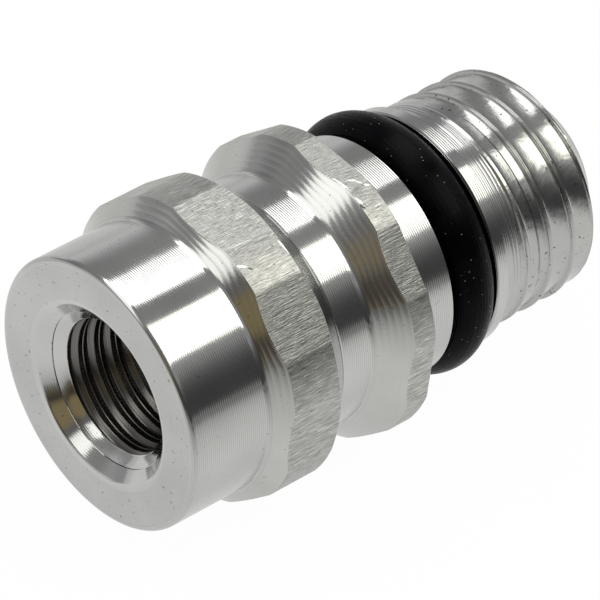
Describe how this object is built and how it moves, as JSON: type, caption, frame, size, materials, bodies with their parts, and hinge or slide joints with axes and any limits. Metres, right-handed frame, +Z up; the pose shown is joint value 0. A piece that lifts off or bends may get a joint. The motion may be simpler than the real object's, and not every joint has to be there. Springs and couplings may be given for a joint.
{
  "type": "schrader service valve",
  "caption": "Screw-in Schrader service valve: turned bar body with coupler groove, sealing ring, threaded end and a spring-loaded valve core.",
  "frame": {"origin": "middle of the valve's length and width, on the surface it lies on", "axes": "+X along the valve's axis, from the cap mouth to the threaded end; +Z up, square to the bar flats the valve lies on; +Y completes a right-handed frame"},
  "size_m": [0.0284, 0.0156, 0.0156],
  "materials": {
    "turned_aluminium": "as turned, fine feed marks",
    "black_rubber": "lightly oiled",
    "brass": "as turned",
    "red_polymer": "smooth",
    "spring_steel": "bright drawn wire",
    "pin_steel": "bright"
  },
  "bodies": {
    "valve": {"valve_body": "turned_aluminium", "body_seal_ring": "black_rubber", "core_plug": "brass", "core_barrel": "brass", "core_gasket": "red_polymer", "core_spring": "spring_steel"},
    "stem": {"stem_pin": "pin_steel", "stem_cup": "brass", "stem_seal": "black_rubber"}
  },
  "joints": [
    {"name": "stem_depress", "type": "slide", "parent": "valve", "child": "stem", "axis": [1, 0, 0], "range_m": [0, 0.0012], "stiffness_N_per_m": 2500, "deforming": ["core_spring"]}
  ]
}
